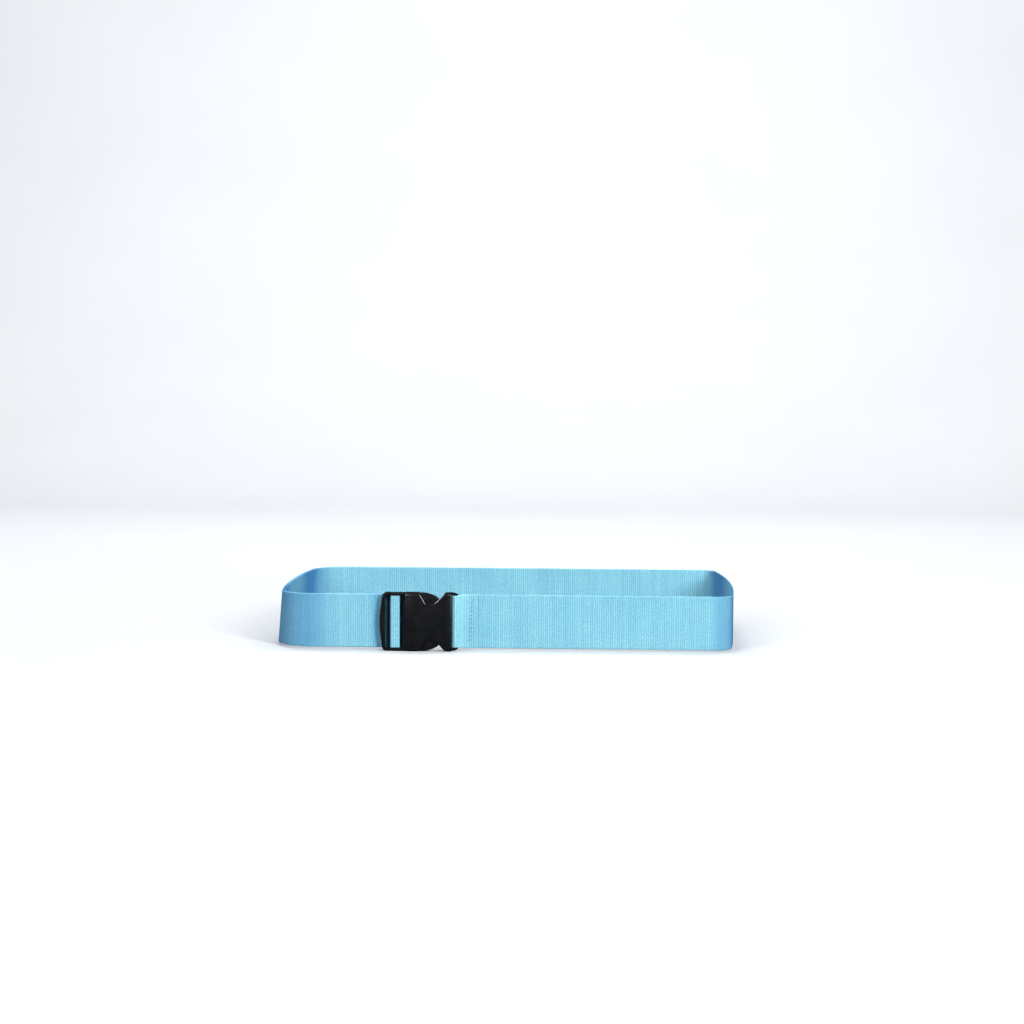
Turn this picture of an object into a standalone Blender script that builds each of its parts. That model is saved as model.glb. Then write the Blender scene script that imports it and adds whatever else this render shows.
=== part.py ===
"""Luggage strap: 50 mm webbing round a suitcase, closed by a side-release buckle.

The strap lies as it does on the case.  X runs along the front of the case to the right, Y runs
from the front to the back and Z is up.  The origin is the middle of the loop, half-way up the
webbing.  A height called "out" is measured outwards from the front of the case.
"""
import math

import bmesh
import bpy
from mathutils import Vector

MM = 0.001
GAP = 0.3 * MM                         # clearance between pieces that touch

# The suitcase that the loop is drawn round: flat front and back, and sides that bulge to a ridge.
# A side is the X where the flat ends, its corner radius and the degrees that it leans out.
# The left side has fittings under the strap, which round its corners more.
CASE_DEPTH = 260.0 * MM
LEFT_SIDE = (-180.0 * MM, 35.0 * MM, 6.0)
RIGHT_SIDE = (192.0 * MM, 14.0 * MM, 7.0)

# Webbing
WEB_WIDTH = 50.0 * MM
WEB_THICK = 1.4 * MM
TAIL_LENGTH = 600.0 * MM               # free tail, from the adjuster to its hem
HEM_LENGTH = 25.0 * MM                 # end of the tail that is folded over and sewn
SLACK_END = 17.0 * MM                  # where the stretch that bunches up behind the socket ends
FOLD_END = -28.8 * MM                  # cut end of the fold round the socket's bar
FOLD_FLAT = -42.2 * MM                 # where the fold has come down flat on the strand

# Buckle, along X
FRAME_LEFT = -119.2 * MM               # outer bar of the adjuster, at mid-height
OUTER_SLOT_LEFT = -114.6 * MM
CENTRE_BAR_LEFT = -107.95 * MM
CENTRE_BAR_RIGHT = -102.35 * MM
INNER_SLOT_RIGHT = -96.2 * MM
MOUTH = -95.5 * MM                     # edge of the socket that the plug goes into
NECK_RIGHT = -93.3 * MM
PRONG_ROOT = -92.8 * MM
WINDOW_LEFT = -82.9 * MM
PRONG_SHOULDER = -81.2 * MM
PRONG_TIP = -61.6 * MM
BLADE_TIP = -60.0 * MM
CAVITY_END = -57.0 * MM
SOCKET_RIGHT = -53.3 * MM
SOCKET_BAR = -49.7 * MM                # middle of the bar that the webbing is sewn round
ARM_END = -46.9 * MM

# Buckle, up and down (half-heights)
FRAME_HALF = 27.1 * MM
SLOT_HALF = 24.6 * MM
NECK_HALF = 24.4 * MM
SHELL_HALF = 27.3 * MM
CAVITY_HALF = 25.0 * MM
BLADE_HALF = 3.5 * MM
PRONG_PIVOT = 20.1 * MM                # height of the flexure at a prong's root
ARM_HALF_THICK = 1.5 * MM
PAD_INNER = 14.0 * MM
PAD_OUTER = 27.0 * MM

# Buckle, outwards from the case
FRAME_OUT = (3.4 * MM, 10.4 * MM)
CENTRE_BAR_TOP = 8.0 * MM
SHELL_OUT = (1.0 * MM, 13.0 * MM)
CAVITY_OUT = (3.2 * MM, 10.8 * MM)
PRONG_OUT = (3.9 * MM, 10.1 * MM)
BLADE_OUT = (5.0 * MM, 9.0 * MM)
ARM_OUT = (1.9 * MM, 6.6 * MM)
SOCKET_BAR_OUT = 4.0 * MM
SOCKET_BAR_RADIUS = 1.6 * MM

# Sewing
THREAD = 0.5 * MM
BOX_STITCH = (-41.8 * MM, -37.6 * MM)  # left row of the box, and where its short rows end
BOX_STITCH_HALF = 21.0 * MM
BAR_TACK = -35.4 * MM
BAR_TACK_HALF = 17.5 * MM
TACK_WIDTH = 3.0 * MM
TACK_PITCH = 2.05 * MM                 # half a zigzag

ARC_STEP = 9.0                         # most degrees of arc per facet
ARC_RUN = 22.0 * MM                    # longest facet on a wide arc
SMOOTH_ANGLE = math.radians(35)

# Derived places
FRONT_Y = -CASE_DEPTH / 2
LOAD_OUT = WEB_THICK / 2
TAIL_OUT = 1.5 * WEB_THICK + GAP
WRAP_RADIUS = WEB_THICK / 2 + GAP      # middle of webbing that turns round a square edge
BAR_WRAP_RADIUS = SOCKET_BAR_RADIUS + WRAP_RADIUS
NARROW_HALF = SLOT_HALF - GAP          # webbing is squeezed this narrow in a buckle slot
FLAT_LEFT = LEFT_SIDE[0] + GAP
FLAT_RIGHT = RIGHT_SIDE[0] - GAP


# ---------------------------------------------------------------- scene and materials

def clear_scene():
    """Remove whatever the file opened with."""
    for old in list(bpy.data.objects):
        bpy.data.objects.remove(old, do_unlink=True)


def finish(name, colour, roughness):
    """Plain material with the piece's colour and roughness."""
    material = bpy.data.materials.new(name)
    material.use_nodes = True
    shader = material.node_tree.nodes["Principled BSDF"]
    shader.inputs["Base Color"].default_value = (*colour, 1.0)
    shader.inputs["Roughness"].default_value = roughness
    shader.inputs["Metallic"].default_value = 0.0
    return material


def empty(name, location=(0, 0, 0), rotation=(0, 0, 0), parent=None):
    """Empty that carries other pieces."""
    holder = bpy.data.objects.new(name, None)
    bpy.context.collection.objects.link(holder)
    holder.location = location
    holder.rotation_euler = rotation
    holder.parent = parent
    return holder


def place(name, solid, material, parent=None, location=(0, 0, 0)):
    """Turn a bmesh into a named object, faces outwards and round parts shaded smooth."""
    bmesh.ops.recalc_face_normals(solid, faces=solid.faces)
    mesh = bpy.data.meshes.new(name)
    solid.to_mesh(mesh)
    solid.free()
    mesh.materials.append(material)
    mesh.shade_smooth()
    mesh.set_sharp_from_angle(angle=SMOOTH_ANGLE)
    piece = bpy.data.objects.new(name, mesh)
    bpy.context.collection.objects.link(piece)
    piece.parent = parent
    piece.location = location
    return piece


def combine(piece, other, operation):
    """Add or cut another object, which stays hidden as a guide."""
    other.hide_render = True
    other.display_type = 'WIRE'
    boolean = piece.modifiers.new(other.name, 'BOOLEAN')
    boolean.operation = operation
    boolean.object = other


def round_edges(piece, width, segments=2):
    """Bevel a piece's sharp edges."""
    bevel = piece.modifiers.new("rounded", 'BEVEL')
    bevel.width = width
    bevel.segments = segments
    bevel.limit_method = 'ANGLE'
    bevel.angle_limit = SMOOTH_ANGLE


# ---------------------------------------------------------------- lines and solids

def arc(centre, radius, start, end):
    """Points on an arc, angles in degrees, both ends included."""
    run = radius * math.radians(abs(end - start))
    count = math.ceil(max(abs(end - start) / ARC_STEP, run / ARC_RUN))
    angles = [math.radians(start + (end - start) * i / count) for i in range(count + 1)]
    return [Vector((centre[0] + radius * math.cos(a), centre[1] + radius * math.sin(a)))
            for a in angles]


def ease(start, end, count=8):
    """Points of an S-shaped step between two places, level at both."""
    points = []
    for i in range(1, count):
        t = i / count
        rise = t * t * (3 - 2 * t)
        points.append(Vector((start[0] + (end[0] - start[0]) * t,
                              start[1] + (end[1] - start[1]) * rise)))
    return points


def outline_prism(outline, low, high):
    """Closed prism over a flat outline, from low to high."""
    solid = bmesh.new()
    face = solid.faces.new([solid.verts.new((p[0], p[1], low)) for p in outline])
    raised = bmesh.ops.extrude_face_region(solid, geom=[face])
    corners = [v for v in raised["geom"] if isinstance(v, bmesh.types.BMVert)]
    bmesh.ops.translate(solid, verts=corners, vec=(0, 0, high - low))
    return solid


def box(x_range, y_range, z_range):
    """Closed box between three ranges."""
    x0, x1 = x_range
    y0, y1 = y_range
    return outline_prism([(x0, y0), (x1, y0), (x1, y1), (x0, y1)], *z_range)


def strip(line, thick, half_width):
    """Closed strip that follows a line in X and Y and stands half_width either side of Z = 0."""
    solid = bmesh.new()
    rings = []
    for i, point in enumerate(line):
        along = (line[min(i + 1, len(line) - 1)] - line[max(i - 1, 0)]).normalized()
        across = Vector((-along.y, along.x)) * thick / 2
        rings.append([solid.verts.new((point.x + side * across.x, point.y + side * across.y, z))
                      for side, z in ((-1, -half_width), (1, -half_width),
                                      (1, half_width), (-1, half_width))])
    for first, second in zip(rings, rings[1:]):
        for i in range(4):
            j = (i + 1) % 4
            solid.faces.new((first[i], first[j], second[j], second[i]))
    solid.faces.new(rings[0])
    solid.faces.new(rings[-1])
    return solid


# ---------------------------------------------------------------- webbing

def plan(x, out):
    """Plan point in front of the case, at a height out from it."""
    return Vector((x, FRONT_Y - out))


def side_line(side, out):
    """Plan line round one side of the case, from its front to its back, at a height out."""
    flat_end, radius, lean = side
    reach = abs(flat_end)
    slope = math.radians(lean)
    turn_y = FRONT_Y + radius * (1 - math.sin(slope))
    flank = -turn_y / math.sin(slope)
    flank_x = flank * math.cos(slope) - (reach + radius * math.cos(slope))
    line = arc((-reach, FRONT_Y + radius), radius + out, 270, 180 + lean)
    line += arc((flank_x, 0), flank + out, 180 + lean, 180 - lean)[1:]
    line += arc((-reach, -FRONT_Y - radius), radius + out, 180 - lean, 90)[1:]
    return [Vector((math.copysign(p.x, flat_end), p.y)) for p in line]


def line_length(line):
    """Length of a line of points."""
    return sum((b - a).length for a, b in zip(line, line[1:]))


def load_strand(webbing):
    """The strand that lies on the case, in the stretches between its corners."""
    half = WEB_WIDTH / 2
    back = [Vector((x, -FRONT_Y + LOAD_OUT)) for x in (FLAT_LEFT, FLAT_RIGHT)]
    stretches = {
        "webbing_front_left": [plan(FLAT_LEFT, LOAD_OUT), plan(CENTRE_BAR_RIGHT - 2 * MM, LOAD_OUT)],
        "webbing_left_side": side_line(LEFT_SIDE, LOAD_OUT),
        "webbing_back": back,
        "webbing_right_side": side_line(RIGHT_SIDE, LOAD_OUT),
        "webbing_front_right": [plan(SLACK_END, LOAD_OUT), plan(FLAT_RIGHT, LOAD_OUT)],
        "webbing_slack": [plan(FOLD_END + 2 * GAP, LOAD_OUT), plan(SLACK_END - GAP, LOAD_OUT)],
    }
    for name, line in stretches.items():
        place(name, strip(line, WEB_THICK, half), webbing)


def bar_wrap(webbing):
    """Webbing folded back under the inner slot, up it, over the centre bar and down the outer one."""
    turn = 0.9 * MM
    rise = 1.0 * MM
    drop = TAIL_OUT - LOAD_OUT + 0.3 * MM
    right = CENTRE_BAR_RIGHT + WRAP_RADIUS
    left = CENTRE_BAR_LEFT - WRAP_RADIUS
    fold_back = INNER_SLOT_RIGHT - 0.4 * MM - WEB_THICK / 2 - turn
    profile = [Vector((CENTRE_BAR_RIGHT - 2 * MM + GAP, LOAD_OUT))]
    profile += arc((fold_back, LOAD_OUT + turn), turn, 270, 450)
    profile += arc((right + rise, LOAD_OUT + 2 * turn + rise), rise, 270, 180)
    profile += arc((CENTRE_BAR_RIGHT, CENTRE_BAR_TOP), WRAP_RADIUS, 0, 90)
    profile += arc((CENTRE_BAR_LEFT, CENTRE_BAR_TOP), WRAP_RADIUS, 90, 180)
    profile += arc((left - drop, TAIL_OUT + drop), drop, 360, 270)
    line = [plan(p.x, p.y) for p in profile]
    place("webbing_bar_wrap", strip(line, WEB_THICK, NARROW_HALF), webbing)
    return profile[-1].x


def tail(webbing, start):
    """Free tail: it lies on the load strand, round the left side and on to the back."""
    half = WEB_WIDTH / 2
    front = [plan(start - GAP, TAIL_OUT), plan(FLAT_LEFT, TAIL_OUT)]
    side = side_line(LEFT_SIDE, TAIL_OUT)
    back_run = TAIL_LENGTH - line_length(front) - line_length(side)
    end = LEFT_SIDE[0] + back_run
    back_y = -FRONT_Y + TAIL_OUT
    turn = (WEB_THICK + GAP) / 2
    back = [Vector((FLAT_LEFT, back_y))]
    back += arc((end - turn, back_y + turn), turn, -90, 90)
    back.append(Vector((end - HEM_LENGTH, back_y + 2 * turn)))
    place("webbing_tail_front", strip(front, WEB_THICK, half), webbing)
    place("webbing_tail_side", strip(side, WEB_THICK, half), webbing)
    place("webbing_tail_back", strip(back, WEB_THICK, half), webbing)
    return end, back_y + 2 * turn + WEB_THICK / 2


def socket_fold(webbing, parent):
    """Webbing sewn round the socket's bar: in under it, round it and back on top."""
    bar = (SOCKET_BAR, SOCKET_BAR_OUT)
    under = (SOCKET_BAR, SOCKET_BAR_OUT - BAR_WRAP_RADIUS)
    over = (SOCKET_BAR, SOCKET_BAR_OUT + BAR_WRAP_RADIUS)
    profile = [Vector((FOLD_END + GAP, LOAD_OUT)), Vector((FOLD_FLAT, LOAD_OUT))]
    profile += ease((FOLD_FLAT, LOAD_OUT), under)
    profile += arc(bar, BAR_WRAP_RADIUS, 270, 90)
    profile += ease(over, (FOLD_FLAT, TAIL_OUT))
    profile += [Vector((FOLD_FLAT, TAIL_OUT)), Vector((FOLD_END, TAIL_OUT))]
    line = [plan(p.x, p.y) for p in profile]
    fold = place("webbing_socket_fold", strip(line, WEB_THICK, WEB_WIDTH / 2), webbing)
    squeeze = (WEB_WIDTH / 2 - NARROW_HALF) / (FOLD_FLAT - ARM_END)
    for corner in fold.data.vertices:
        depth = min(max(FOLD_FLAT - corner.co.x, 0), FOLD_FLAT - ARM_END)
        corner.co.z -= math.copysign(depth * squeeze, corner.co.z)
    fold.parent = parent
    fold.matrix_parent_inverse = parent.matrix_world.inverted()


# ---------------------------------------------------------------- plug

def slot_outline(left, right, half, left_radius, right_radius):
    """Outline of a slot with rounded corners."""
    r0, r1 = left_radius, right_radius
    return (arc((right - r1, half - r1), r1, 0, 90) + arc((left + r0, half - r0), r0, 90, 180)
            + arc((left + r0, r0 - half), r0, 180, 270) + arc((right - r1, r1 - half), r1, 270, 360))


def plug_frame(plastic, parent):
    """Adjuster with its two slots, the neck that enters the socket and the guide blade."""
    bulge = 3.0 * MM
    corner = 2.5 * MM
    shoulder = MOUTH - 0.4 * MM
    straight = FRAME_HALF - corner
    bow_radius = (straight ** 2 + bulge ** 2) / (2 * bulge)
    bow_angle = math.degrees(math.asin(straight / bow_radius))
    corner_x = FRAME_LEFT + bulge + corner
    outline = arc((corner_x, straight), corner, 90, 180 - bow_angle)
    outline += arc((FRAME_LEFT + bow_radius, 0), bow_radius, 180 - bow_angle, 180 + bow_angle)[1:-1]
    outline += arc((corner_x, -straight), corner, 180 + bow_angle, 270)
    outline += [(shoulder, -FRAME_HALF), (shoulder, -NECK_HALF), (NECK_RIGHT, -NECK_HALF),
                (NECK_RIGHT, NECK_HALF), (shoulder, NECK_HALF), (shoulder, FRAME_HALF)]
    frame = place("plug_frame", outline_prism(outline, *FRAME_OUT), plastic, parent)
    round_edges(frame, 0.8 * MM)

    outer_slot = slot_outline(OUTER_SLOT_LEFT, CENTRE_BAR_LEFT, SLOT_HALF, 2 * MM, 0.8 * MM)
    inner_slot = slot_outline(CENTRE_BAR_RIGHT, INNER_SLOT_RIGHT, SLOT_HALF, 0.8 * MM, 2.5 * MM)
    over = (FRAME_OUT[0] - MM, FRAME_OUT[1] + MM)
    cuts = {
        "outer_slot_cut": outline_prism(outer_slot, *over),
        "inner_slot_cut": outline_prism(inner_slot, *over),
        "centre_bar_cut": box((CENTRE_BAR_LEFT - MM, CENTRE_BAR_RIGHT + MM),
                              (-SLOT_HALF, SLOT_HALF), (CENTRE_BAR_TOP, over[1])),
    }
    for name, cutter in cuts.items():
        combine(frame, place(name, cutter, plastic, parent), 'DIFFERENCE')
    blade = box((NECK_RIGHT - MM, BLADE_TIP), (-BLADE_HALF, BLADE_HALF), BLADE_OUT)
    combine(frame, place("guide_blade", blade, plastic, parent), 'UNION')


def prong(name, side, plastic, parent):
    """Springy side prong: thin arm, locking shoulder and thumb pad; its origin is the flexure."""
    pad_radius = 27.0 * MM
    tip_radius = 2.2 * MM
    outer = PAD_OUTER - PRONG_PIVOT
    inner = PAD_INNER - PRONG_PIVOT
    shoulder = PRONG_SHOULDER - PRONG_ROOT
    tip = PRONG_TIP - PRONG_ROOT
    heel = 3.0 * MM
    nose = arc((shoulder + MM, outer - pad_radius), pad_radius, 90, 50)
    outline = [(0, -ARM_HALF_THICK), (shoulder - heel, -ARM_HALF_THICK), (shoulder, inner + MM),
               (shoulder + heel, inner)]
    outline += arc((tip - tip_radius, inner + tip_radius), tip_radius, 270, 360)
    outline += [p for p in reversed(nose) if p.x < tip - 0.5 * MM]
    outline += [(shoulder, outer), (shoulder, ARM_HALF_THICK), (0, ARM_HALF_THICK)]
    solid = outline_prism([(x, side * y) for x, y in outline], *PRONG_OUT)
    piece = place(name, solid, plastic, parent, (PRONG_ROOT, side * PRONG_PIVOT, 0))
    round_edges(piece, 0.4 * MM, 1)


# ---------------------------------------------------------------- socket

def window_outline(side):
    """Thumb window in the socket's edge: steep on the left, sweeping up on the right."""
    steep = 60.0
    sweep = 47.0
    depth = 12.3 * MM
    small, large = 3.0 * MM, 15.0 * MM
    rise = small * (1 - math.cos(math.radians(steep)))
    flank = (depth - rise) / math.tan(math.radians(steep))
    floor_x = WINDOW_LEFT + flank + small * math.sin(math.radians(steep))
    floor_y = SHELL_HALF - depth
    above = SHELL_HALF + 5 * MM
    outline = [(WINDOW_LEFT - 5 * MM / math.tan(math.radians(steep)), above)]
    outline += arc((floor_x, floor_y + small), small, 270 - steep, 270)
    outline += arc((floor_x, floor_y + large), large, 270, 270 + sweep)[1:]
    last_x, last_y = outline[-1]
    outline.append((last_x + (above - last_y) / math.tan(math.radians(sweep)), above))
    return [(x, side * y) for x, y in outline]


def socket_shell(plastic, parent):
    """Hollow half of the buckle, with its mouth, thumb windows and webbing bar."""
    shell = place("socket_shell", box((MOUTH, SOCKET_RIGHT), (-SHELL_HALF, SHELL_HALF), SHELL_OUT),
                  plastic, parent)
    round_edges(shell, 1.6 * MM)
    margin = MM
    cavity = box((MOUTH - margin, CAVITY_END), (-CAVITY_HALF, CAVITY_HALF), CAVITY_OUT)
    combine(shell, place("cavity_cut", cavity, plastic, parent), 'DIFFERENCE')
    for name, side in (("upper", 1), ("lower", -1)):
        window = outline_prism(window_outline(side), SHELL_OUT[0] - margin, SHELL_OUT[1] + margin)
        combine(shell, place(name + "_window_cut", window, plastic, parent), 'DIFFERENCE')
        arm = box((SOCKET_RIGHT - margin, ARM_END), sorted((side * SLOT_HALF, side * FRAME_HALF)),
                  ARM_OUT)
        arm_guide = place(name + "_arm", arm, plastic, parent)
        round_edges(arm_guide, 0.9 * MM)
        combine(shell, arm_guide, 'UNION')
    bar = bmesh.new()
    bmesh.ops.create_cone(bar, cap_ends=True, segments=16, radius1=SOCKET_BAR_RADIUS,
                          radius2=SOCKET_BAR_RADIUS, depth=2 * SLOT_HALF + MM)
    bar_guide = place("socket_bar", bar, plastic, parent, (SOCKET_BAR, 0, SOCKET_BAR_OUT))
    bar_guide.rotation_euler = (math.radians(90), 0, 0)
    combine(shell, bar_guide, 'UNION')


# ---------------------------------------------------------------- sewing

def zigzag(centre, half_length, width, pitch):
    """Zigzag line that climbs along Y."""
    count = round(2 * half_length / pitch)
    return [Vector((centre + width / 2 * (-1) ** i, -half_length + 2 * half_length * i / count))
            for i in range(count + 1)]


def thread(name, line, out, material, parent):
    """Row of thread that lies on the webbing at a height out."""
    solid = strip(line, THREAD, THREAD / 2)
    bmesh.ops.translate(solid, verts=solid.verts, vec=(0, 0, out + THREAD / 2))
    place(name, solid, material, parent)


def box_stitch_line():
    """Rows of the box: along the upper edge, down the left and back along the lower edge."""
    left, right = BOX_STITCH
    half = BOX_STITCH_HALF
    return [Vector(p) for p in ((right, half), (left, half), (left, -half), (right, -half))]


def main():
    clear_scene()
    webbing = finish("webbing_polypropylene", (0.26, 0.65, 0.81), 0.65)
    plastic = finish("buckle_acetal", (0.012, 0.012, 0.014), 0.35)
    cotton = finish("sewing_thread", (0.42, 0.76, 0.87), 0.6)

    front = empty("case_front", (0, FRONT_Y, 0), (math.radians(90), 0, 0))
    bpy.context.view_layer.update()
    socket = empty("socket_slide", parent=front)
    bpy.context.view_layer.update()

    load_strand(webbing)
    tail_start = bar_wrap(webbing)
    hem_end, hem_y = tail(webbing, tail_start)
    plug_frame(plastic, front)
    prong("plug_prong_upper", 1, plastic, front)
    prong("plug_prong_lower", -1, plastic, front)
    socket_shell(plastic, socket)
    socket_fold(webbing, socket)
    fold_face = TAIL_OUT + WEB_THICK / 2 + GAP
    tack_line = zigzag(BAR_TACK, BAR_TACK_HALF, TACK_WIDTH, TACK_PITCH)
    thread("socket_box_stitch", box_stitch_line(), fold_face, cotton, socket)
    thread("socket_bar_tack", tack_line, fold_face, cotton, socket)
    back = empty("case_back", (0, hem_y, 0), (math.radians(-90), 0, 0))
    thread("tail_hem_stitch", zigzag(hem_end - HEM_LENGTH + 4 * MM, BOX_STITCH_HALF, TACK_WIDTH,
                                     TACK_PITCH), GAP, cotton, back)


main()
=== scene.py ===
"""Luggage strap: ribbed webbing drawn round a suitcase and closed by a side-release buckle.

X runs to the right along the front of the case, Y to its back and Z up.  Lengths are in metres.
A height called "out" is measured outwards from the front of the case.
"""

import math

import bmesh
import bpy
import numpy as np
from mathutils import Matrix, Vector


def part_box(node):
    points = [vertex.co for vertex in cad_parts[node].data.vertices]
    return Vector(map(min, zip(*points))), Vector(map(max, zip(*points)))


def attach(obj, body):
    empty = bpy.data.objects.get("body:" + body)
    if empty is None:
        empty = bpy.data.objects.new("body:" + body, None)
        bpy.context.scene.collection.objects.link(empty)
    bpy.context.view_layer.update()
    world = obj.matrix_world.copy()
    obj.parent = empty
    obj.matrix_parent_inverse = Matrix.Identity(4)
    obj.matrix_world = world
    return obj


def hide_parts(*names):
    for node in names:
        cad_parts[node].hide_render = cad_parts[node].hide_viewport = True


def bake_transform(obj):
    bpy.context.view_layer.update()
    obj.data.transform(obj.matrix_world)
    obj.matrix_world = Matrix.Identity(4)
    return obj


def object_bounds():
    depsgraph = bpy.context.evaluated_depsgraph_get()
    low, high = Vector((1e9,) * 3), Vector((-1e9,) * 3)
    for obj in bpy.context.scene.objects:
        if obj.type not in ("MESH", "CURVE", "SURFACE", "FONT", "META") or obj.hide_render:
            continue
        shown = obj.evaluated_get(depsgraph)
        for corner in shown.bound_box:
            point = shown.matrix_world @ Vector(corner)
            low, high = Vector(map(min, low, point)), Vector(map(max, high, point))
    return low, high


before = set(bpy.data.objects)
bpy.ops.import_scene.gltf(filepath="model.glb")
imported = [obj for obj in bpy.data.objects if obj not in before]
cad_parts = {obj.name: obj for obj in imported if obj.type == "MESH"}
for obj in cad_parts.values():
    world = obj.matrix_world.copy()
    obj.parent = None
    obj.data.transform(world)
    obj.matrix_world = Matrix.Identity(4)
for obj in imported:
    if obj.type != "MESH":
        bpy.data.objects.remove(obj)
CAD_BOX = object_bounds()
bpy.ops.object.select_all(action='DESELECT')

MM = 0.001

# ---------------------------------------------------------------- places, from the frame

FRONT_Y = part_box("webbing_front_left")[1].y       # front face of the case
BACK_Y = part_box("webbing_back")[0].y              # back face of the case
GAP = 0.3 * MM                                    # clearance between pieces that touch
FLAT_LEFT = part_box("webbing_back")[0].x - GAP     # ends of the flat front and back
FLAT_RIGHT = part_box("webbing_back")[1].x + GAP
WEB_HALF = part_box("webbing_back")[1].z            # half the webbing's width
WEB_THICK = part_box("webbing_back")[1].y - BACK_Y
LOAD_OUT = WEB_THICK / 2                          # middle of the strand on the case
TAIL_OUT = LOAD_OUT + WEB_THICK + GAP             # middle of the webbing that lies on it

FRAME_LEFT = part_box("plug_frame")[0].x            # outer bar of the adjuster
FRAME_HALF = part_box("plug_frame")[1].z
FRAME_OUT = (FRONT_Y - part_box("plug_frame")[1].y, FRONT_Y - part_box("plug_frame")[0].y)
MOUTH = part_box("socket_shell")[0].x               # edge of the socket that the plug goes into
ARM_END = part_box("socket_shell")[1].x
SHELL_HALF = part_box("socket_shell")[1].z
SHELL_OUT = (FRONT_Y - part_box("socket_shell")[1].y, FRONT_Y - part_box("socket_shell")[0].y)
PAD_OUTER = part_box("plug_prong_upper")[1].z       # crown of the thumb pad
PRONG_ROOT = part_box("plug_prong_upper")[0].x
PRONG_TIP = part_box("plug_prong_upper")[1].x
PRONG_OUT = (FRONT_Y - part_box("plug_prong_upper")[1].y, FRONT_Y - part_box("plug_prong_upper")[0].y)
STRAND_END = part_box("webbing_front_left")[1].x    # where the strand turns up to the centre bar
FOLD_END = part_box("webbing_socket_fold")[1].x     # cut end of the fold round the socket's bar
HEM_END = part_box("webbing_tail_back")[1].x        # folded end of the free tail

# Case, as the webbing lies on it: where a side's flat ends, its corner radius, and the degrees
# that it leans out to its ridge.  Fittings under the strap round the left side more.
LEFT_SIDE = (FLAT_LEFT, 35 * MM, 6.0)
RIGHT_SIDE = (FLAT_RIGHT, 14 * MM, 7.0)
LEFT_TWIST = 2.0 * MM                             # the strap's lower edge flares out on the left
HEM_LENGTH = 25 * MM

# Adjuster
SLOT_HALF = 24.6 * MM
OUTER_SLOT_LEFT = FRAME_LEFT + 4.6 * MM
CENTRE_BAR_LEFT = FRAME_LEFT + 11.25 * MM
CENTRE_BAR_RIGHT = STRAND_END + 2 * MM
INNER_SLOT_RIGHT = CENTRE_BAR_RIGHT + 6.15 * MM
CENTRE_BAR_TOP = 8 * MM
NARROW_HALF = SLOT_HALF - GAP                     # webbing squeezed into a slot

# Socket
SOCKET_RIGHT = ARM_END - 6.4 * MM
SOCKET_BAR = ARM_END - 2.8 * MM
SOCKET_BAR_OUT = 4 * MM
SOCKET_BAR_RADIUS = 1.6 * MM
CAVITY_HALF = 25 * MM
CAVITY_OUT = (3.2 * MM, 10.8 * MM)
CAVITY_END = SOCKET_RIGHT - 3.7 * MM
FALL = 0.9 * MM                                   # how far the broad face drops at its right
FOLD_FLAT = FOLD_END - 13.4 * MM                  # where the fold comes down flat
WINDOW_DEPTH = 11.3 * MM                          # thumb windows, from the socket's edge

# Webbing
RIB_PITCH = 2.08 * MM                             # weft cords, laid across the width
RIB_DEPTH = 0.33 * MM
RIB_REACH = 0.16 * MM                             # how far a cord can stand past the selvedge
SEAL_LENGTH = 3.5 * MM                            # cut end, melted and pressed thin
SEAL_PRESS = 0.45 * MM
WRAP_RADIUS = WEB_THICK / 2 + GAP

SMOOTH = math.radians(35)


# ---------------------------------------------------------------- materials

def paint(code):
    """Linear colour of an sRGB hex value."""
    parts = [int(code[i:i + 2], 16) / 255 for i in (1, 3, 5)]
    return (*[c / 12.92 if c <= 0.04045 else ((c + 0.055) / 1.055) ** 2.4 for c in parts], 1)


def add(tree, kind, settings, inputs):
    """Node with its settings, and its inputs as values or as the outputs that feed them."""
    node = tree.nodes.new(kind)
    for name, value in settings.items():
        setattr(node, name, value)
    for name, value in inputs.items():
        if isinstance(value, bpy.types.NodeSocket):
            tree.links.new(value, node.inputs[name])
        else:
            node.inputs[name].default_value = value
    return node


def material(name):
    """New material with its node tree and its shader."""
    made = bpy.data.materials.new(name)
    made.use_nodes = True
    return made, made.node_tree, made.node_tree.nodes["Principled BSDF"]


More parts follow.
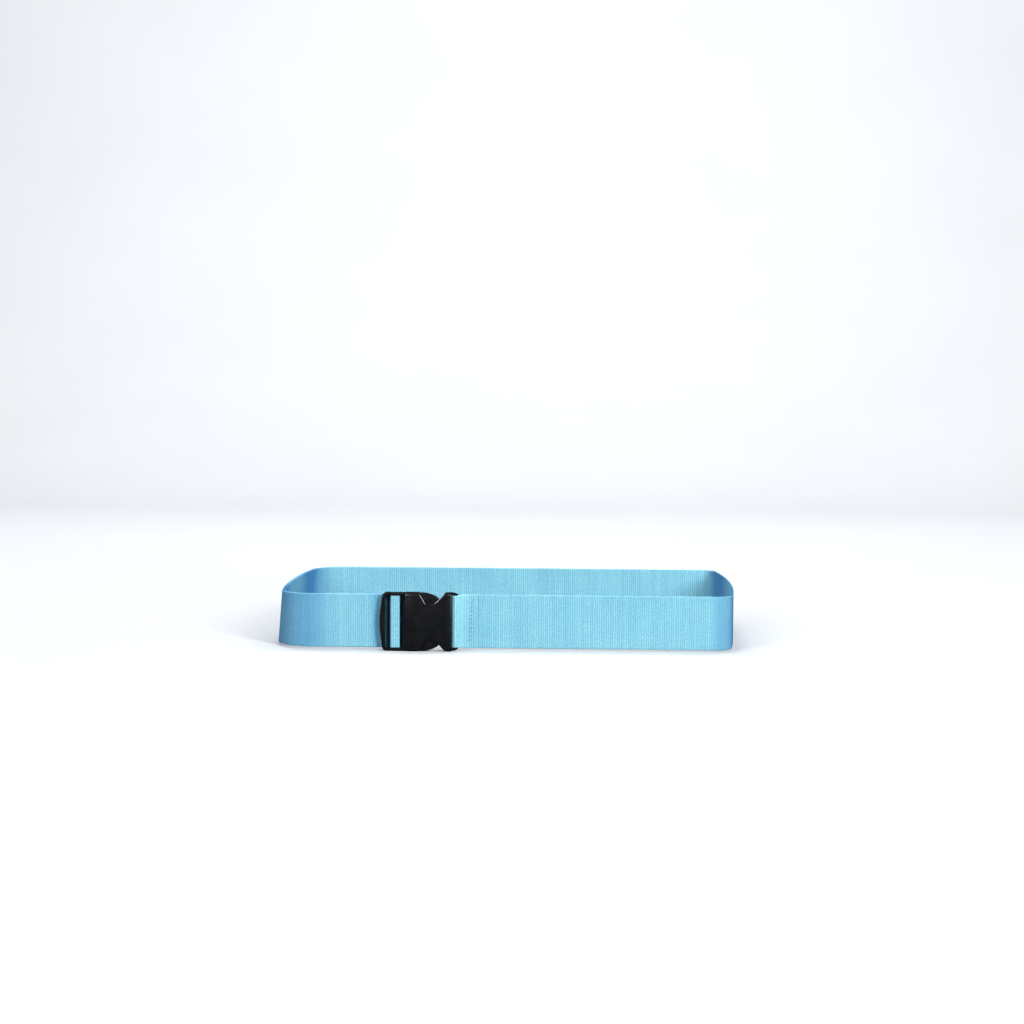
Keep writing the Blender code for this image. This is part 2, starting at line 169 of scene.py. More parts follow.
def woven_polypropylene():
    """Heavy ribbed polypropylene webbing, woven and heat-set: a matt, slightly waxy cloth.

    The weft cords are real ribs in the mesh.  The warp yarns that cross them show as short
    bright floats, drawn at 1 mm, about twice as coarse as they are, so that they show.  Each
    rib takes the dye a little differently, and the grooves between ribs are painted darker
    as shade.
    """
    made, tree, shader = material("woven_polypropylene")
    warp_pitch = 1.05 * MM
    weave = add(tree, 'ShaderNodeUVMap', {"uv_map": "weave"}, {}).outputs["UV"]
    place = add(tree, 'ShaderNodeSeparateXYZ', {}, {"Vector": weave})
    rib = add(tree, 'ShaderNodeMath', {"operation": 'DIVIDE'}, {0: place.outputs["X"], 1: RIB_PITCH})
    rib_number = add(tree, 'ShaderNodeMath', {"operation": 'FLOOR'}, {0: rib.outputs[0]})
    across = add(tree, 'ShaderNodeMath', {"operation": 'FRACT'}, {0: rib.outputs[0]})
    crown = add(tree, 'ShaderNodeMath', {"operation": 'PINGPONG'}, {0: across.outputs[0], 1: 0.5})

    # Each rib's own tone
    tone = add(tree, 'ShaderNodeTexWhiteNoise', {"noise_dimensions": '1D'},
               {"W": rib_number.outputs[0]})
    rib_tone = add(tree, 'ShaderNodeMapRange', {}, {"Value": tone.outputs["Value"],
                                                    "To Min": 0.90, "To Max": 1.03})
    # Painted shade in the groove between ribs
    groove = add(tree, 'ShaderNodeMapRange', {"interpolation_type": 'SMOOTHSTEP'},
                 {"Value": crown.outputs[0], "From Max": 0.24, "To Min": 0.55, "To Max": 1.0})
    # Warp floats: each yarn crosses a rib in one float, and they stagger from rib to rib
    turned = add(tree, 'ShaderNodeCombineXYZ', {}, {"X": place.outputs["Y"], "Y": place.outputs["X"]})
    floats = add(tree, 'ShaderNodeTexBrick', {"offset": 0.5, "offset_frequency": 2, "squash": 1.0},
                 {"Vector": turned.outputs[0], "Scale": 1.0, "Mortar Size": 0.20 * MM,
                  "Mortar Smooth": 1.0, "Bias": 0.0, "Brick Width": warp_pitch,
                  "Row Height": RIB_PITCH, "Color1": (1.0, 1.0, 1.0, 1),
                  "Color2": (0.86, 0.86, 0.86, 1), "Mortar": (0.74, 0.74, 0.74, 1)})
    # Yarns catch the light unevenly, in patches a millimetre or so across
    uneven = add(tree, 'ShaderNodeTexNoise', {"noise_dimensions": '2D'},
                 {"Vector": weave, "Scale": 620.0, "Detail": 4.0, "Roughness": 0.72})
    patches = add(tree, 'ShaderNodeMapRange', {}, {"Value": uneven.outputs["Fac"],
                                                   "From Min": 0.3, "From Max": 0.7,
                                                   "To Min": 0.68, "To Max": 1.12})
    # Slow changes of tone along the strap, as the dye and handling leave it
    cloud = add(tree, 'ShaderNodeTexNoise', {"noise_dimensions": '2D'},
                {"Vector": weave, "Scale": 28.0, "Detail": 3.0, "Roughness": 0.55})
    cloud_tone = add(tree, 'ShaderNodeMapRange', {}, {"Value": cloud.outputs["Fac"],
                                                      "From Min": 0.3, "From Max": 0.7,
                                                      "To Min": 0.93, "To Max": 1.05})
    shade = add(tree, 'ShaderNodeMath', {"operation": 'MULTIPLY'},
                {0: rib_tone.outputs[0], 1: groove.outputs[0]})
    shade = add(tree, 'ShaderNodeMath', {"operation": 'MULTIPLY'},
                {0: shade.outputs[0], 1: cloud_tone.outputs[0]})
    shade = add(tree, 'ShaderNodeMath', {"operation": 'MULTIPLY'},
                {0: shade.outputs[0], 1: patches.outputs[0]})
    shade = add(tree, 'ShaderNodeMath', {"operation": 'MULTIPLY'},
                {0: shade.outputs[0], 1: floats.outputs["Color"]})
    # Painted light and shade, chosen and fixed to the cloth: painted shade in the corners and at
    # the front's ends, a painted shadow by the adjuster, painted light at the tight fold, and
    # painted shade in the adjuster's slots
    painted_light_and_shade = add(tree, 'ShaderNodeAttribute', {"attribute_name": "painted_light_and_shade"}, {})
    painted_shading_factor = add(tree, 'ShaderNodeMapRange', {}, {"Value": painted_light_and_shade.outputs["Fac"], "From Min": -1.0,
                                                  "To Min": 1.92, "To Max": 0.08})
    shade = add(tree, 'ShaderNodeMath', {"operation": 'MULTIPLY', "use_clamp": True},
                {0: shade.outputs[0], 1: painted_shading_factor.outputs[0]})
    dye = add(tree, 'ShaderNodeMix', {"data_type": 'RGBA'},
              {"Factor": shade.outputs[0], "A": paint("#0a7ac0"), "B": paint("#a3e8ef")})
    # Painted shade in the adjuster's slots: the dye mixed towards a dark blue
    painted_slot_shade = add(tree, 'ShaderNodeAttribute', {"attribute_name": "painted_slot_shade"}, {})
    slot_shade_strength = add(tree, 'ShaderNodeMath', {"operation": 'MULTIPLY'}, {0: painted_slot_shade.outputs["Fac"], 1: 0.8})
    slot_shaded_dye = add(tree, 'ShaderNodeMix', {"data_type": 'RGBA'},
               {"Factor": slot_shade_strength.outputs[0], "A": dye.outputs["Result"], "B": paint("#0e2236")})
    tree.links.new(slot_shaded_dye.outputs["Result"], shader.inputs["Base Color"])
    shader.inputs["Roughness"].default_value = 0.55
    shader.inputs["IOR"].default_value = 1.49
    shader.inputs["Specular IOR Level"].default_value = 0.2
    shader.inputs["Sheen Weight"].default_value = 0.05
    shader.inputs["Sheen Roughness"].default_value = 0.4

    # Fibres, drawn at 0.3 mm, four times as coarse as they are
    fibre = add(tree, 'ShaderNodeTexNoise', {"noise_dimensions": '2D'},
                {"Vector": weave, "Scale": 3300.0, "Detail": 2.0, "Roughness": 0.6})
    yarns = add(tree, 'ShaderNodeBump', {"invert": True},
                {"Strength": 0.6, "Distance": 0.18 * MM, "Height": floats.outputs["Fac"]})
    fibres = add(tree, 'ShaderNodeBump', {},
                 {"Strength": 0.35, "Distance": 0.06 * MM, "Height": fibre.outputs["Fac"],
                  "Normal": yarns.outputs["Normal"]})
    tree.links.new(fibres.outputs["Normal"], shader.inputs["Normal"])
    return made


def moulded_acetal():
    """Injection-moulded black acetal: a satin, faintly waxy black with a fine eroded grain.

    The grain is drawn at 0.35 mm, about twice as coarse as it is, so that it shows.
    """
    made, tree, shader = material("moulded_acetal")
    coords = add(tree, 'ShaderNodeTexCoord', {}, {}).outputs["Object"]
    grain = add(tree, 'ShaderNodeTexNoise', {}, {"Vector": coords, "Scale": 2900.0, "Detail": 2.0,
                                                 "Roughness": 0.6})
    handled = add(tree, 'ShaderNodeTexNoise', {}, {"Vector": coords, "Scale": 90.0, "Detail": 3.0,
                                                   "Roughness": 0.6})
    gloss = add(tree, 'ShaderNodeMapRange', {}, {"Value": handled.outputs["Fac"],
                                                 "From Min": 0.3, "From Max": 0.7,
                                                 "To Min": 0.24, "To Max": 0.32})
    black = add(tree, 'ShaderNodeMix', {"data_type": 'RGBA'},
                {"Factor": handled.outputs["Fac"], "A": paint("#09090b"), "B": paint("#101013")})
    bump = add(tree, 'ShaderNodeBump', {}, {"Strength": 0.25, "Distance": 0.04 * MM,
                                            "Height": grain.outputs["Fac"]})
    tree.links.new(black.outputs["Result"], shader.inputs["Base Color"])
    tree.links.new(gloss.outputs[0], shader.inputs["Roughness"])
    tree.links.new(bump.outputs["Normal"], shader.inputs["Normal"])
    shader.inputs["IOR"].default_value = 1.48
    return made


def sewing_thread(name, dark, light):
    """Bonded polyester thread: two plies twisted together, with a soft gloss on each ply.  Its
    colour is painted in bands along the twist: painted shade between the plies and painted
    sheen on each ply.
    """
    made, tree, shader = material(name)
    lie = add(tree, 'ShaderNodeUVMap', {"uv_map": "twist"}, {}).outputs["UV"]
    plies = add(tree, 'ShaderNodeTexWave', {"wave_type": 'BANDS', "bands_direction": 'DIAGONAL'},
                {"Vector": lie, "Scale": 1.0, "Distortion": 0.4, "Detail": 1.0})
    tint = add(tree, 'ShaderNodeMix', {"data_type": 'RGBA'},
               {"Factor": plies.outputs["Fac"], "A": paint(dark), "B": paint(light)})
    bump = add(tree, 'ShaderNodeBump', {}, {"Strength": 0.5, "Distance": 0.08 * MM,
                                            "Height": plies.outputs["Fac"]})
    tree.links.new(tint.outputs["Result"], shader.inputs["Base Color"])
    tree.links.new(bump.outputs["Normal"], shader.inputs["Normal"])
    shader.inputs["Roughness"].default_value = 0.45
    shader.inputs["IOR"].default_value = 1.57
    shader.inputs["Sheen Weight"].default_value = 0.15
    return made


def painted_board(name, colour):
    """Matt painted studio board, with the faint unevenness of a rolled coat."""
    made, tree, shader = material(name)
    coords = add(tree, 'ShaderNodeTexCoord', {}, {}).outputs["Object"]
    roller = add(tree, 'ShaderNodeTexNoise', {}, {"Vector": coords, "Scale": 3.0, "Detail": 2.0})
    tint = add(tree, 'ShaderNodeMix', {"data_type": 'RGBA'},
               {"Factor": roller.outputs["Fac"], "A": paint(colour), "B": paint("#dee0e2")})
    tree.links.new(tint.outputs["Result"], shader.inputs["Base Color"])
    shader.inputs["Roughness"].default_value = 0.8
    return made


# ---------------------------------------------------------------- webbing

def arc(centre, radius, start, end, step=1.5):
    """Plan points on an arc, angles in degrees, both ends included."""
    count = max(2, math.ceil(abs(end - start) / step))
    angles = np.radians(np.linspace(start, end, count + 1))
    return [(centre[0] + radius * math.cos(a), centre[1] + radius * math.sin(a)) for a in angles]


def in_front(points):
    """Plan points from pairs of X and the height out from the case."""
    return [(x, FRONT_Y - out) for x, out in points]


def round_side(side, out):
    """Plan line round one side of the case from front to back, at a height out from it."""
    flat_end, radius, lean = side
    reach, slope = abs(flat_end), math.radians(lean)
    turn_y = FRONT_Y + radius * (1 - math.sin(slope))
    flank = -turn_y / math.sin(slope)
    flank_x = flank * math.cos(slope) - (reach + radius * math.cos(slope))
    line = arc((-reach, FRONT_Y + radius), radius + out, 270, 180 + lean)
    line += arc((flank_x, 0), flank + out, 180 + lean, 180 - lean, 0.2)[1:]
    line += arc((-reach, BACK_Y - radius), radius + out, 180 - lean, 90)[1:]
    return [(math.copysign(x, flat_end), y) for x, y in line]


def strand_line():
    """Strand under the tail: from the centre bar to the left, and round the left side."""
    line = in_front([(STRAND_END, LOAD_OUT), (FLAT_LEFT + GAP, LOAD_OUT)])
    return line + round_side(LEFT_SIDE, LOAD_OUT)


def loop_line():
    """Across the back, round the right side, along the front and round the socket's bar."""
    line = [(FLAT_LEFT, BACK_Y + LOAD_OUT)]
    line += round_side(RIGHT_SIDE, LOAD_OUT)[::-1]
    under = SOCKET_BAR_OUT - SOCKET_BAR_RADIUS - WRAP_RADIUS
    over = SOCKET_BAR_OUT + SOCKET_BAR_RADIUS + WRAP_RADIUS
    bar = SOCKET_BAR - 0.2 * MM
    fold = [(FOLD_FLAT, LOAD_OUT)] + ease((FOLD_FLAT, LOAD_OUT), (bar, under))
    fold += arc((bar, SOCKET_BAR_OUT), SOCKET_BAR_RADIUS + WRAP_RADIUS, 270, 90, 6)
    fold += ease((bar, over), (FOLD_FLAT, TAIL_OUT))
    fold += [(FOLD_FLAT, TAIL_OUT), (FOLD_END, TAIL_OUT)]
    return line + in_front(fold)


def tail_line():
    """Folded back under the inner slot, up it, over the centre bar and down the outer slot."""
    right, left = CENTRE_BAR_RIGHT + WRAP_RADIUS, CENTRE_BAR_LEFT - WRAP_RADIUS
    turn, rise, drop = 0.9 * MM, 1.0 * MM, TAIL_OUT - LOAD_OUT + 0.3 * MM
    fold_back = INNER_SLOT_RIGHT - 0.4 * MM - WEB_THICK / 2 - turn
    line = [(STRAND_END + GAP, LOAD_OUT)]
    line += arc((fold_back, LOAD_OUT + turn), turn, 270, 450, 8)
    line += arc((right + rise, LOAD_OUT + 2 * turn + rise), rise, 270, 180, 8)
    line += arc((CENTRE_BAR_RIGHT, CENTRE_BAR_TOP), WRAP_RADIUS, 0, 90, 8)
    line += arc((CENTRE_BAR_LEFT, CENTRE_BAR_TOP), WRAP_RADIUS, 90, 180, 8)
    line += arc((left - drop, TAIL_OUT + drop), drop, 360, 270, 8)
    line.append((FLAT_LEFT + GAP, TAIL_OUT))
    line = in_front(line) + round_side(LEFT_SIDE, TAIL_OUT)
    turn = (WEB_THICK + GAP) / 2
    end = HEM_END - turn - WEB_THICK / 2
    back = BACK_Y + TAIL_OUT
    line += arc((end, back + turn), turn, -90, 90, 10)
    line.append((HEM_END - HEM_LENGTH, back + 2 * turn))
    return line


def ease(start, end, count=10):
    """Inner points of an S-shaped step between two places, level at both."""
    steps = [i / count for i in range(1, count)]
    return [(start[0] + (end[0] - start[0]) * t, start[1] + (end[1] - start[1]) * t * t * (3 - 2 * t))
            for t in steps]


def smoothstep(low, high, value):
    """0 below low, 1 above high and a smooth rise between them."""
    t = np.clip((value - low) / (high - low), 0, 1)
    return t * t * (3 - 2 * t)


def slot_squeeze(x, out):
    """How far the webbing's edges are pressed in where it goes through the buckle."""
    in_front_of_case = (out > 0) & (out < 30 * MM)
    plug = smoothstep(TAIL_OUT, FRAME_OUT[0] + GAP, out) * (x < MOUTH) * (x > FRAME_LEFT)
    socket = smoothstep(-FOLD_FLAT, -ARM_END, -x) * (x > SOCKET_RIGHT)
    return np.where(in_front_of_case, np.maximum(plug, socket), 0) * (WEB_HALF - NARROW_HALF)


def left_twist(x, y):
    """How far the lower edge stands out, and the upper edge in, as the strap turns the left side."""
    depth = np.minimum(y - FRONT_Y, BACK_Y - y)
    return LEFT_TWIST * smoothstep(6 * MM, 34 * MM, depth) * smoothstep(0, 25 * MM, FLAT_LEFT - x)


def tightness(x, y):
    """1 where the fold is drawn tight round the socket's bar and its ribs close up."""
    in_front = (FRONT_Y - y > 0) & (FRONT_Y - y < 20 * MM)
    return in_front * (x > SOCKET_RIGHT) * (1 - smoothstep(FOLD_FLAT, FOLD_END - 4 * MM, x))


def painted_light_and_shade_tone(x, y, turn):
    """Painted light and shade: up to 1, painted shade in the corners and at the front's ends and
    a painted shadow by the buckle; below 0, painted light at the tight fold.
    """
    depth, out = np.minimum(y - FRONT_Y, BACK_Y - y), FRONT_Y - y
    # Painted shade where the strap turns away round the case's corners and sides
    corner = (1 - np.abs(turn)) * (depth > 0) * (1 - 0.6 * smoothstep(50 * MM, 110 * MM, depth))
    # Painted shade near the front's right and left ends
    right = 0.42 * smoothstep(FLAT_RIGHT - 6.5 * MM, FLAT_RIGHT + 3 * MM, x)
    left = 0.5 * (1 - smoothstep(FLAT_LEFT - 8 * MM, FLAT_LEFT + 22 * MM, x))
    # Painted shadow of the adjuster's outer bar on the webbing beside it
    painted_buckle_shadow = 0.4 * smoothstep(FRAME_LEFT - 13 * MM, FRAME_LEFT - 3 * MM, x) * (x < CENTRE_BAR_LEFT - MM)
    front = np.maximum(left, right) * (y < FRONT_Y + 30 * MM)
    # Painted light at the tight fold takes the tone below 0
    return np.maximum(corner, front) + (out > 0) * (out < 20 * MM) * painted_buckle_shadow - 0.22 * tightness(x, y)


def painted_shade_in_slots(x, out):
    """Painted shade: 1 where the webbing lies deep in the adjuster's slots."""
    outer = (x > FRAME_LEFT + 2 * MM) * (x < CENTRE_BAR_LEFT - 0.2 * MM)
    inner = (x > CENTRE_BAR_RIGHT + 0.2 * MM) * (x < MOUTH)
    return (outer + inner) * (out > 0) * (1 - smoothstep(6.5 * MM, 9 * MM, out))


def webbing(name, line, seed, finish, sealed=False):
    """Closed ribbed strip of webbing along a plan line; a sealed end is pressed thin."""
    line = np.array(line)
    run = np.concatenate([[0], np.cumsum(np.hypot(*np.diff(line, axis=0).T))])
    ribs = round(run[-1] / RIB_PITCH)
    chance = np.random.default_rng(seed)
    grooves = (np.arange(ribs + 1) + 0.1 * chance.uniform(-1, 1, ribs + 1)) * run[-1] / ribs
    grooves[0], grooves[-1] = 0, run[-1]
    rib_height = 1 + 0.25 * chance.uniform(-1, 1, ribs)
    rib_reach = RIB_REACH * chance.uniform(0, 1, ribs)

    # Stations along the strip: eight to a rib, and the last groove
    share = np.array([0, 0.07, 0.2, 0.35, 0.5, 0.65, 0.8, 0.93])
    rib = np.repeat(np.arange(ribs), len(share))
    part = np.tile(share, ribs)
    s = grooves[rib] + (grooves[rib + 1] - grooves[rib]) * part
    swell = np.sqrt(np.clip(1 - (2 * part - 1) ** 2, 0, 1))
    rib, part = np.append(rib, ribs - 1), np.append(part, 1.0)
    s, swell = np.append(s, run[-1]), np.append(swell, 0.0)
    x, y = np.interp(s, run, line[:, 0]), np.interp(s, run, line[:, 1])
    reach = 0.4 * MM
    ahead, behind = np.clip(s + reach, 0, run[-1]), np.clip(s - reach, 0, run[-1])
    dx = np.interp(ahead, run, line[:, 0]) - np.interp(behind, run, line[:, 0])
    dy = np.interp(ahead, run, line[:, 1]) - np.interp(behind, run, line[:, 1])
    length = np.hypot(dx, dy)
    out_x, out_y = -dy / length, dx / length

    press = SEAL_PRESS * smoothstep(run[-1] - SEAL_LENGTH, run[-1], s) * sealed
    rib_depth = RIB_DEPTH * (1 - 0.8 * tightness(x, y))
    thick = WEB_THICK / 2 - rib_depth * (1 - swell * rib_height[rib] / 1.25) - press
    twist = left_twist(x, y)
    half = WEB_HALF - slot_squeeze(x, FRONT_Y - y) - RIB_REACH + rib_reach[rib] * swell

    # Section: out along the upper face and back along the lower one, with rounded selvedges
    edge = [(0.0, 0.0), (0.12, 0.62), (0.45, 0.95), (1.1, 1.06), (2.0, 1.0)]
    upper = [(-1, e, h) for e, h in edge] + [(0, f, 1.0) for f in (-0.6, -0.2, 0.2, 0.6)]
    upper += [(1, e, h) for e, h in reversed(edge)]
    section = [(k, e, h) for k, e, h in upper] + [(k, e, -h) for k, e, h in upper[-2:0:-1]]
    rows = []
    for end, place, height in section:
        z = end * (half - place * MM) if end else place * half
        out = thick * height + press - twist * z / WEB_HALF
        rows.append(np.stack([x + out_x * out, y + out_y * out, z], axis=1))
    points = np.stack(rows, axis=1).reshape(-1, 3)
    wide = len(section)
    weave = np.stack([np.repeat((rib + part) * RIB_PITCH, wide), points[:, 2]], axis=1)

    strip = bpy.data.meshes.new(name)
    at = np.arange(len(s) - 1)[:, None] * wide
    here, there = np.arange(wide)[None], (np.arange(wide)[None] + 1) % wide
    quads = np.stack([at + here, at + wide + here, at + wide + there, at + there], axis=2)
    faces = quads.reshape(-1, 4).tolist()
    last = (len(s) - 1) * wide
    faces.append(list(range(wide)))
    faces.append([last + i for i in reversed(range(wide))])
    strip.from_pydata(points.tolist(), [], faces)
    uv = strip.uv_layers.new(name="weave")
    corners = np.empty(len(strip.loops), np.int64)
    strip.loops.foreach_get("vertex_index", corners)
    uv.data.foreach_set("uv", weave[corners].astype(np.float32).ravel())
    # Painted light and shade, and painted shade in the slots, kept on each point for the cloth
    painted_shading = {"painted_light_and_shade": painted_light_and_shade_tone(x, y, dx / length), "painted_slot_shade": painted_shade_in_slots(x, FRONT_Y - y)}
    for tone, values in painted_shading.items():
        layer = strip.attributes.new(tone, 'FLOAT', 'POINT')
        layer.data.foreach_set("value", np.repeat(values, wide).astype(np.float32))
    strip.materials.append(finish)
    strip.shade_smooth()
    piece = bpy.data.objects.new(name, strip)
    bpy.context.collection.objects.link(piece)
    face_outwards(piece)
    return piece


def face_outwards(piece):
    """Turn a closed mesh's faces outwards."""
    solid = bmesh.new()
    solid.from_mesh(piece.data)
    bmesh.ops.recalc_face_normals(solid, faces=solid.faces)
    if solid.calc_volume(signed=True) < 0:
        bmesh.ops.reverse_faces(solid, faces=solid.faces)
    solid.to_mesh(piece.data)
    solid.free()


# ---------------------------------------------------------------- moulding, as by hand

def block(name, x_range, out_range, z_range):
    """Block between three ranges, placed and sized as a primitive and left active."""
    bpy.ops.object.select_all(action='DESELECT')
    size = (x_range[1] - x_range[0], out_range[1] - out_range[0], z_range[1] - z_range[0])
    middle = (sum(x_range) / 2, FRONT_Y - sum(out_range) / 2, sum(z_range) / 2)
    bpy.ops.mesh.primitive_cube_add(size=1, location=middle)
    piece = bpy.context.object
    piece.name = piece.data.name = name
    piece.scale = size
    bpy.ops.object.transform_apply(location=True, rotation=True, scale=True)
    return piece


def pick(piece, kind, wanted):
    """In edit mode, select the faces or edges that a test wants."""
    bpy.context.view_layer.objects.active = piece
    bpy.ops.object.mode_set(mode='EDIT')
    bpy.ops.mesh.select_mode(type=kind)
    bpy.ops.mesh.select_all(action='DESELECT')
    solid = bmesh.from_edit_mesh(piece.data)
    found = [e for e in (solid.edges if kind == 'EDGE' else solid.faces if kind == 'FACE'
                         else solid.verts) if wanted(e)]
    for part in found:
        part.select_set(True)
    solid.select_flush_mode()
    bmesh.update_edit_mesh(piece.data)


def done():
    """Leave edit mode."""
    bpy.ops.object.mode_set(mode='OBJECT')


def near(value, target, reach=0.05 * MM):
    """Whether two lengths agree."""
    return abs(value - target) < reach


def middle_of(edge):
    """Middle of an edge."""
    return (edge.verts[0].co + edge.verts[1].co) / 2


def runs_out(edge):
    """Whether an edge runs straight out from the case."""
    a, b = (v.co for v in edge.verts)
    return near(a.x, b.x) and near(a.z, b.z) and not near(a.y, b.y)


def round_picked(width, segments):
    """Round the picked edges and leave edit mode."""
    bpy.ops.mesh.bevel(offset=width, segments=segments, affect='EDGES', clamp_overlap=False)
    done()


def corner_at(x, z):
    """Test for the upright edge at a place."""
    return lambda e: runs_out(e) and near(middle_of(e).x, x) and near(middle_of(e).z, z)


def apply(piece, kind, **settings):
    """Add a modifier with its settings and apply it."""
    bpy.context.view_layer.objects.active = piece
    modifier = piece.modifiers.new(kind.lower(), kind)
    for name, value in settings.items():
        setattr(modifier, name, value)
    bpy.ops.object.modifier_apply(modifier=modifier.name)


def combine(piece, tool, operation):
    """Join a tool to the piece or cut it away, and throw the tool away."""
    apply(piece, 'BOOLEAN', object=tool, operation=operation, solver='EXACT')
    bpy.data.objects.remove(tool, do_unlink=True)


def soften(piece, width, segments=3, angle=30):
    """Round every sharp edge, as the mould leaves it, and shade the piece."""
    pick(piece, 'FACE', lambda f: True)
    bpy.ops.mesh.remove_doubles(threshold=0.01 * MM)
    bpy.ops.mesh.dissolve_limited(angle_limit=math.radians(1))
    done()
    apply(piece, 'BEVEL', width=width, segments=segments, limit_method='ANGLE',
          angle_limit=math.radians(angle), use_clamp_overlap=True, miter_outer='MITER_ARC',
          harden_normals=False)
    face_outwards(piece)
    bpy.ops.object.select_all(action='DESELECT')
    piece.select_set(True)
    bpy.context.view_layer.objects.active = piece
    bpy.ops.object.shade_smooth_by_angle(angle=SMOOTH)


def finished(piece, finish, body, *nodes):
    """Give a moulding its material, its body and the CAD nodes that it stands for."""
    piece.data.materials.clear()
    piece.data.materials.append(finish)
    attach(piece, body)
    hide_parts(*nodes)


def window(side):
    """Thumb window's cutter: steep on the left, and sweeping up on the right."""
    depth = WINDOW_DEPTH
    steep, sweep = math.radians(60), math.radians(47)
    small, large = 3 * MM, 13 * MM
    floor = SHELL_HALF - depth
    above = 6 * MM
    left = MOUTH + 12.6 * MM + depth / math.tan(steep)
    right = left + small * math.tan(steep / 2) + large * math.tan(sweep / 2) + 0.2 * MM
    cutter = block("window", (left, right), (SHELL_OUT[0] - MM, SHELL_OUT[1] + MM),
                   (floor, SHELL_HALF + above))
    height = depth + above
    pick(cutter, 'VERT', lambda v: v.co.z > SHELL_HALF and v.co.x < (left + right) / 2)
    bpy.ops.transform.translate(value=(-height / math.tan(steep), 0, 0))
    done()
    pick(cutter, 'VERT', lambda v: v.co.z > SHELL_HALF and v.co.x > (left + right) / 2)
    bpy.ops.transform.translate(value=(height / math.tan(sweep), 0, 0))
    done()
    pick(cutter, 'EDGE', corner_at(left, floor))
    round_picked(small * math.tan(steep / 2), 6)
    pick(cutter, 'EDGE', corner_at(right, floor))
    round_picked(large * math.tan(sweep / 2), 12)
    if side < 0:
        turn_over(cutter)
    return cutter


def window_rim(edge):
    """Whether an edge is a thumb window's rim on the socket's broad face."""
    middle = middle_of(edge)
    if len(edge.link_faces) != 2 or not MOUTH + 8 * MM < middle.x < SOCKET_RIGHT - MM:
        return False
    facing = sorted(f.normal.y for f in edge.link_faces)
    return facing[0] < -0.5 and abs(facing[1]) < 0.05 and abs(middle.z) < SHELL_HALF - 0.6 * MM


def turn_over(piece):
    """Mirror a piece from the upper half to the lower half."""
    pick(piece, 'FACE', lambda f: True)
    bpy.ops.transform.mirror(constraint_axis=(False, False, True), center_override=(0, 0, 0))
    bpy.ops.mesh.normals_make_consistent(inside=False)
    done()


def socket_moulding(plastic):
    """Hollow half of the buckle: shell, mouth, thumb windows, two claws and the webbing bar."""
    shell = block("socket_moulding", (MOUTH, SOCKET_RIGHT), SHELL_OUT, (-SHELL_HALF, SHELL_HALF))
    pick(shell, 'EDGE', lambda e: not runs_out(e) and near(abs(middle_of(e).z), SHELL_HALF)
         and not near(e.verts[0].co.x, e.verts[1].co.x))
    round_picked(2.6 * MM, 5)
    # The broad face falls away a little towards the webbing
    crease = SOCKET_RIGHT - 8.2 * MM
    pick(shell, 'FACE', lambda f: True)
    bpy.ops.mesh.bisect(plane_co=(crease, 0, 0), plane_no=(1, 0, 0))
    done()
    for corner in shell.data.vertices:
        if corner.co.x > crease + MM and corner.co.y < FRONT_Y - SHELL_OUT[1] + 3 * MM:
            corner.co.y += FALL
    pick(shell, 'EDGE', lambda e: all(near(v.co.x, SOCKET_RIGHT) and
                                      near(v.co.y, FRONT_Y - SHELL_OUT[1] + FALL) for v in e.verts))
    round_picked(1.5 * MM, 4)
    cavity = block("cavity", (MOUTH - MM, CAVITY_END), CAVITY_OUT, (-CAVITY_HALF, CAVITY_HALF))
    combine(shell, cavity, 'DIFFERENCE')
    for side in (1, -1):
        combine(shell, window(side), 'DIFFERENCE')
    pick(shell, 'EDGE', window_rim)
    bpy.ops.mesh.bevel(offset=1.5 * MM, segments=1, affect='EDGES', clamp_overlap=True)
    done()
    for side in (1, -1):
        combine(shell, claw(side), 'UNION')
    bpy.ops.object.select_all(action='DESELECT')
    bpy.ops.mesh.primitive_cylinder_add(
        vertices=32, radius=SOCKET_BAR_RADIUS, depth=2 * SLOT_HALF + MM,
        location=(SOCKET_BAR, FRONT_Y - SOCKET_BAR_OUT, 0))
    bar = bpy.context.object
    bpy.ops.object.transform_apply(location=True, rotation=True, scale=True)
    combine(shell, bar, 'UNION')
    soften(shell, 0.4 * MM)
    finished(shell, plastic, "socket", "socket_shell")


def claw(side):
    """Arm at the socket's right that holds the webbing bar and hooks in at its tip."""
    arm = block("claw", (SOCKET_RIGHT - 2 * MM, ARM_END), (1.9 * MM, 6.6 * MM),
                (SLOT_HALF, FRAME_HALF))
    pick(arm, 'EDGE', lambda e: near(middle_of(e).z, FRAME_HALF) and not near(*[v.co.x for v in e.verts]))
    bpy.ops.mesh.subdivide(number_cuts=11)
    done()
    for corner in arm.data.vertices:
        if near(corner.co.z, FRAME_HALF):
            along = max(corner.co.x - SOCKET_RIGHT, 0) / (ARM_END - SOCKET_RIGHT)
            corner.co.z -= 2.0 * MM * along ** 2
    if side < 0:
        turn_over(arm)
    return arm


def slot_cutter(name, left, right, left_radius, right_radius):
    """Cutter for one slot of the adjuster, with its corner radii."""
    cutter = block(name, (left, right), (FRAME_OUT[0] - MM, FRAME_OUT[1] + MM),
                   (-SLOT_HALF, SLOT_HALF))
    for x, radius in ((left, left_radius), (right, right_radius)):
        pick(cutter, 'EDGE', lambda e: runs_out(e) and near(middle_of(e).x, x))
        round_picked(radius, 5)
    return cutter


